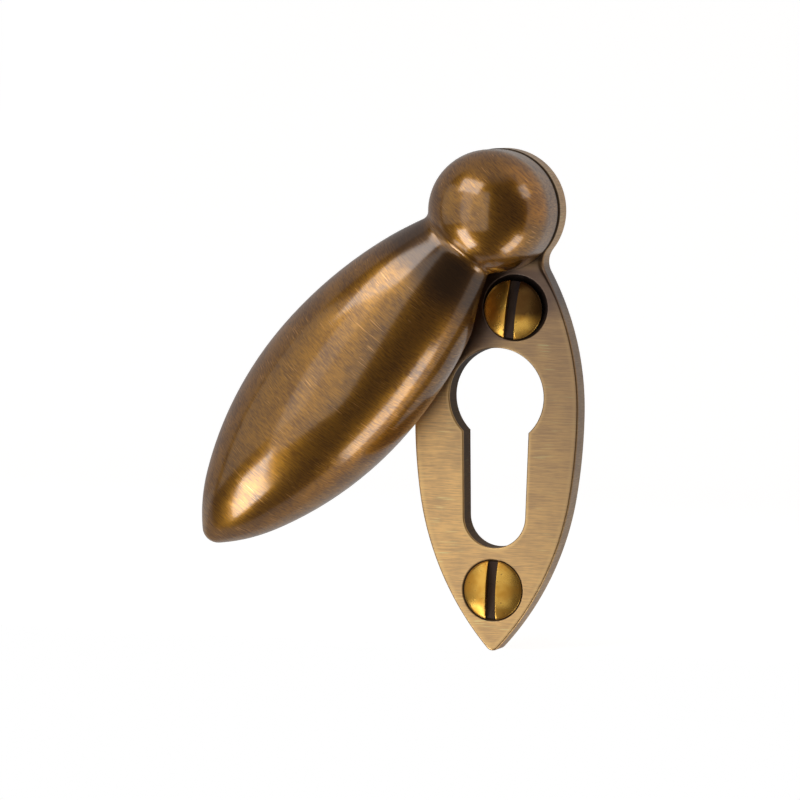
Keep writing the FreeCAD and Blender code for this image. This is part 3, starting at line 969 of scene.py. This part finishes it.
def wound_grid(tree, given):
    """A grid wound into the thread round the screw's axis, closed where its sides meet."""
    grid = tree.nodes.new("GeometryNodeMeshGrid")
    grid.inputs["Size X"].default_value = 1.0
    grid.inputs["Size Y"].default_value = 1.0
    grid.inputs["Vertices X"].default_value = THREAD_POINTS_ROUND
    grid.inputs["Vertices Y"].default_value = THREAD_POINTS_ALONG
    position = tree.nodes.new("GeometryNodeInputPosition").outputs[0]
    flat_x, flat_y, _ = coordinate_parts(tree, position)
    whole = total(tree, given["Thread Length"], given["Point Length"])
    turn = total(tree, flat_x, 0.5)
    depth = product(tree, total(tree, flat_y, 0.5), whole)
    angle = product(tree, turn, 2 * math.pi)
    radius = thread_radius(tree, given, turn, depth, whole)
    across = product(tree, radius, math_node(tree, "COSINE", angle))
    upward = product(tree, radius, math_node(tree, "SINE", angle))
    place = tree.nodes.new("ShaderNodeCombineXYZ")
    tree.links.new(total(tree, across, given["Axis X"]), place.inputs[0])
    tree.links.new(total(tree, depth, given["Start"]), place.inputs[1])
    tree.links.new(total(tree, upward, given["Axis Z"]), place.inputs[2])
    wind = tree.nodes.new("GeometryNodeSetPosition")
    tree.links.new(grid.outputs["Mesh"], wind.inputs["Geometry"])
    tree.links.new(place.outputs[0], wind.inputs["Position"])
    merge = tree.nodes.new("GeometryNodeMergeByDistance")
    merge.inputs["Distance"].default_value = THREAD_WELD
    tree.links.new(wind.outputs[0], merge.inputs["Geometry"])
    return merge.outputs[0]


def thread_tree(material):
    """Nodes that join a wood screw's thread to its head, as real geometry with its material."""
    tree = bpy.data.node_groups.new("wood_screw_thread", "GeometryNodeTree")
    thread_sockets(tree)
    given = tree.nodes.new("NodeGroupInput").outputs
    join = tree.nodes.new("GeometryNodeJoinGeometry")
    tree.links.new(wound_grid(tree, given), join.inputs[0])
    tree.links.new(given["Geometry"], join.inputs[0])
    real = tree.nodes.new("GeometryNodeRealizeInstances")
    tree.links.new(join.outputs[0], real.inputs[0])
    paint = tree.nodes.new("GeometryNodeSetMaterial")
    paint.inputs["Material"].default_value = material
    tree.links.new(real.outputs[0], paint.inputs["Geometry"])
    output = tree.nodes.new("NodeGroupOutput")
    tree.links.new(paint.outputs[0], output.inputs[0])
    return tree


def add_thread(screw, tree, sizes, x, z):
    """Winds the thread on the shank and makes the whole screw one plain mesh."""
    values = {
        "Axis X": x,
        "Axis Z": z,
        "Start": sizes.thread_start,
        "Thread Length": sizes.thread_length,
        "Point Length": sizes.point_length,
        "Pitch": sizes.pitch,
        "Root Radius": sizes.root_radius,
        "Crest Radius": sizes.crest_radius,
    }
    modifier = screw.modifiers.new("thread", "NODES")
    modifier.node_group = tree
    for socket in tree.interface.items_tree:
        if socket.in_out == "INPUT" and socket.name in values:
            modifier[socket.identifier] = values[socket.name]
    applied(screw)


# Stage

def look_from(azimuth, elevation, distance, target):
    """A place at a distance in a direction; azimuth 0 is straight in front, and grows to the right."""
    a = math.radians(azimuth)
    e = math.radians(elevation)
    away = Vector((math.sin(a) * math.cos(e), -math.cos(a) * math.cos(e), math.sin(e)))
    return target + distance * away


def soft_lamp(name, azimuth, elevation, wide, high, radiance, distance=FAR_LAMP):
    """A flat lamp facing the object; wide and high are the degrees that it fills, seen from there."""
    data = bpy.data.lights.new(name, "AREA")
    data.shape = "RECTANGLE"
    data.size = 2 * distance * math.tan(math.radians(wide / 2))
    data.size_y = 2 * distance * math.tan(math.radians(high / 2))
    data.energy = radiance * math.pi * data.size * data.size_y
    lamp = bpy.data.objects.new(name, data)
    lamp.location = look_from(azimuth, elevation, distance, LAMP_TARGET)
    lamp.rotation_euler = (LAMP_TARGET - lamp.location).to_track_quat("-Z", "Y").to_euler()
    bpy.context.scene.collection.objects.link(lamp)


def build_lamps(light):
    """Soft lamps at the left, and two small ones at the right, by azimuth, elevation and size."""
    soft_lamp("panel", -52, 13, 66, 58, light.panel, NEAR_LAMP)
    soft_lamp("strip", -12, 4, 54, 74, light.strip, NEAR_LAMP)
    soft_lamp("window", -31, 47, 38, 22, light.window)
    soft_lamp("low_window", -44, -45, 20, 34, light.low_window)
    soft_lamp("side_card", 88, -50, 17, 34, light.side_card, SIDE_LAMP)
    soft_lamp("side_window", 94, 32, 18, 18, light.side_window)


def build_world(light):
    """Grey surroundings behind and above, a dim room in front, and plain white to the camera."""
    world = bpy.data.worlds.new("studio_room")
    world.use_nodes = True
    tree = world.node_tree
    tree.nodes.clear()
    x, y, z = coordinate_parts(tree, tree.nodes.new("ShaderNodeTexCoord").outputs["Generated"])
    behind = mapped(tree, y, -0.02, 0.04)
    above = mapped(tree, z, 0.75, 0.95)
    right = product(tree, mapped(tree, x, 0.0, 0.6), behind)
    room = mixed(tree, larger(tree, behind, above), light.room, light.surround)
    room = mixed(tree, right, room, light.right_wall)
    rays = tree.nodes.new("ShaderNodeLightPath")
    seen = mixed(tree, rays.outputs["Is Camera Ray"], room, light.ground)
    shade = tree.nodes.new("ShaderNodeBackground")
    tree.links.new(seen, shade.inputs["Color"])
    output = tree.nodes.new("ShaderNodeOutputWorld")
    tree.links.new(shade.outputs[0], output.inputs["Surface"])
    bpy.context.scene.world = world


def floor_material(light):
    """Pale paint that the camera sees as white, and polished metal as light grey."""
    material = bpy.data.materials.new("pale_floor_paint")
    material.use_nodes = True
    tree = material.node_tree
    tree.nodes.clear()
    paint = tree.nodes.new("ShaderNodeBsdfDiffuse")
    paint.inputs["Color"].default_value = (FLOOR_GREY, FLOOR_GREY, FLOOR_GREY, 1)
    glow = tree.nodes.new("ShaderNodeEmission")
    glow.inputs["Color"].default_value = (*light.ground, 1)
    rays = tree.nodes.new("ShaderNodeLightPath").outputs
    in_metal = larger(tree, rays["Is Glossy Ray"], rays["Is Transmission Ray"])
    seen = product(tree, rays["Is Camera Ray"], FLOOR_WHITE)
    strength = larger(tree, seen, product(tree, in_metal, light.shown))
    tree.links.new(strength, glow.inputs["Strength"])
    both = tree.nodes.new("ShaderNodeAddShader")
    tree.links.new(paint.outputs[0], both.inputs[0])
    tree.links.new(glow.outputs[0], both.inputs[1])
    output = tree.nodes.new("ShaderNodeOutputMaterial")
    tree.links.new(both.outputs[0], output.inputs["Surface"])
    return material


def build_floor(light):
    """A plain pale floor from the plate's back plane on, which curves up into a backdrop."""
    low = frame_box[0][2]
    line = [(0.0, low), (FLOOR_DEPTH, low)]
    for i in range(1, BACKDROP_STEPS + 1):
        angle = math.pi / 2 * i / BACKDROP_STEPS
        rise = BACKDROP_RADIUS * (1 - math.cos(angle))
        line.append((FLOOR_DEPTH + BACKDROP_RADIUS * math.sin(angle), low + rise))
    line.append((FLOOR_DEPTH + BACKDROP_RADIUS, low + BACKDROP_HEIGHT))
    mesh = bmesh.new()
    left = [mesh.verts.new((-FLOOR_REACH, y, z)) for y, z in line]
    right = [mesh.verts.new((FLOOR_REACH, y, z)) for y, z in line]
    for i in range(len(line) - 1):
        face = mesh.faces.new((left[i], right[i], right[i + 1], left[i + 1]))
        face.smooth = True
    data = bpy.data.meshes.new("pale_floor")
    mesh.to_mesh(data)
    mesh.free()
    data.materials.append(floor_material(light))
    floor = bpy.data.objects.new("pale_floor", data)
    bpy.context.scene.collection.objects.link(floor)


def build_camera():
    """The photo's view: 17 degrees from the right, 3.5 degrees above, a little rolled."""
    off_right = PIVOT_RIGHT_PIXELS / FOCAL_PIXELS
    off_up = PIVOT_UP_PIXELS / FOCAL_PIXELS
    place = CAMERA_DISTANCE * (CAMERA_BACK - off_right * CAMERA_RIGHT - off_up * CAMERA_UP)
    data = bpy.data.cameras.new("photo_camera")
    data.sensor_width = SENSOR_WIDTH
    data.lens = SENSOR_WIDTH * FOCAL_PIXELS / FRAME_PIXELS
    data.clip_start = 0.05
    data.clip_end = 20
    camera = bpy.data.objects.new("photo_camera", data)
    turn = Matrix((CAMERA_RIGHT, CAMERA_UP, CAMERA_BACK)).transposed().to_4x4()
    camera.matrix_world = Matrix.Translation(place) @ turn
    bpy.context.scene.collection.objects.link(camera)
    bpy.context.scene.camera = camera


# Operators

class ESCUTCHEON_OT_plate(bpy.types.Operator):
    """Build the back plate"""
    bl_idname = "escutcheon.back_plate"
    bl_label = "Back plate"

    def execute(self, context):
        values = settings()
        piece = build_plate(values.plate, values.keyhole, values.screws)
        piece.data.materials.append(plate_material(values.finish, values.places))
        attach(piece, "plate")
        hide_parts("back_plate")
        return {"FINISHED"}


class ESCUTCHEON_OT_screws(bpy.types.Operator):
    """Build the two wood screws"""
    bl_idname = "escutcheon.wood_screws"
    bl_label = "Wood screws"

    def execute(self, context):
        values = settings()
        sizes = values.screws
        material = screw_material(values.finish, values.places, sizes, values.plate)
        tree = thread_tree(material)
        pair = (
            ("upper_screw", sizes.upper_x, sizes.upper_z, sizes.upper_turn),
            ("lower_screw", sizes.lower_x, sizes.lower_z, sizes.lower_turn),
        )
        for node, x, z, turn in pair:
            screw = screw_head(node + "_turned", sizes, values.plate, x, z, turn)
            add_thread(screw, tree, sizes, x, z)
            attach(screw, "plate")
            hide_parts(node)
        return {"FINISHED"}


class ESCUTCHEON_OT_cover(bpy.types.Operator):
    """Finish the swinging cover"""
    bl_idname = "escutcheon.cover"
    bl_label = "Swinging cover"

    def execute(self, context):
        values = settings()
        sizes = values.cover
        pivot_z = values.plate.pivot_z
        material = cover_material(values.finish, values.places, sizes, pivot_z)
        mesh = bmesh.new()
        mesh.from_mesh(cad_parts["cover"].data)
        bmesh.ops.remove_doubles(mesh, verts=mesh.verts, dist=COVER_WELD)
        piece = finished_object("polished_cover", mesh, COVER_CREASE)
        set_ball_normals(piece.data, Vector((0, sizes.axis_y, pivot_z)), sizes.ball_radius)
        piece.data.materials.clear()
        piece.data.materials.append(material)
        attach(piece, "cover")
        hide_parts("cover")
        return {"FINISHED"}


class ESCUTCHEON_OT_pivot(bpy.types.Operator):
    """Finish the pivot screw and its washer"""
    bl_idname = "escutcheon.pivot"
    bl_label = "Pivot and washer"

    def execute(self, context):
        steel = settings().finish.steel
        dress("pivot_screw", steel_material("turned_pivot_steel", steel, 0.28))
        dress("spring_washer", steel_material("spring_washer_steel", steel, 0.36))
        return {"FINISHED"}


class ESCUTCHEON_OT_stage(bpy.types.Operator):
    """Set up the floor, the lights and the camera"""
    bl_idname = "escutcheon.stage"
    bl_label = "Stage"

    def execute(self, context):
        light = settings().light
        build_world(light)
        build_floor(light)
        build_camera()
        build_lamps(light)
        bpy.context.scene.view_settings.view_transform = "Standard"
        return {"FINISHED"}


def dress(node, material):
    """Puts a material on a carried node, in every slot that it has."""
    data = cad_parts[node].data
    if not data.materials:
        data.materials.append(material)
    for i in range(len(data.materials)):
        data.materials[i] = material


class ESCUTCHEON_PT_panel(bpy.types.Panel):
    bl_idname = "ESCUTCHEON_PT_panel"
    bl_label = "Escutcheon"
    bl_space_type = "VIEW_3D"
    bl_region_type = "UI"
    bl_category = "Escutcheon"

    def draw(self, context):
        for operator in OPERATORS:
            self.layout.operator(operator.bl_idname)
        values = settings()
        for group in (values.plate, values.keyhole, values.screws, values.cover, values.places,
                      values.finish, values.light):
            box = self.layout.box()
            for name in group.__annotations__:
                box.prop(group, name)


OPERATORS = (
    ESCUTCHEON_OT_plate,
    ESCUTCHEON_OT_screws,
    ESCUTCHEON_OT_cover,
    ESCUTCHEON_OT_pivot,
    ESCUTCHEON_OT_stage,
)
GROUPS = (
    PlateSizes,
    KeyholeSizes,
    ScrewSizes,
    CoverSizes,
    PatinaAndShadePlaces,
    BrassFinish,
    StudioLight,
    EscutcheonSettings,
)


def register():
    for item in GROUPS + OPERATORS + (ESCUTCHEON_PT_panel,):
        bpy.utils.register_class(item)
    bpy.types.Scene.escutcheon = bpy.props.PointerProperty(type=EscutcheonSettings)


def unregister():
    del bpy.types.Scene.escutcheon
    for item in reversed(GROUPS + OPERATORS + (ESCUTCHEON_PT_panel,)):
        bpy.utils.unregister_class(item)


def main():
    register()
    bpy.ops.escutcheon.back_plate()
    bpy.ops.escutcheon.wood_screws()
    bpy.ops.escutcheon.cover()
    bpy.ops.escutcheon.pivot()
    bpy.ops.escutcheon.stage()


if __name__ == "__main__":
    main()
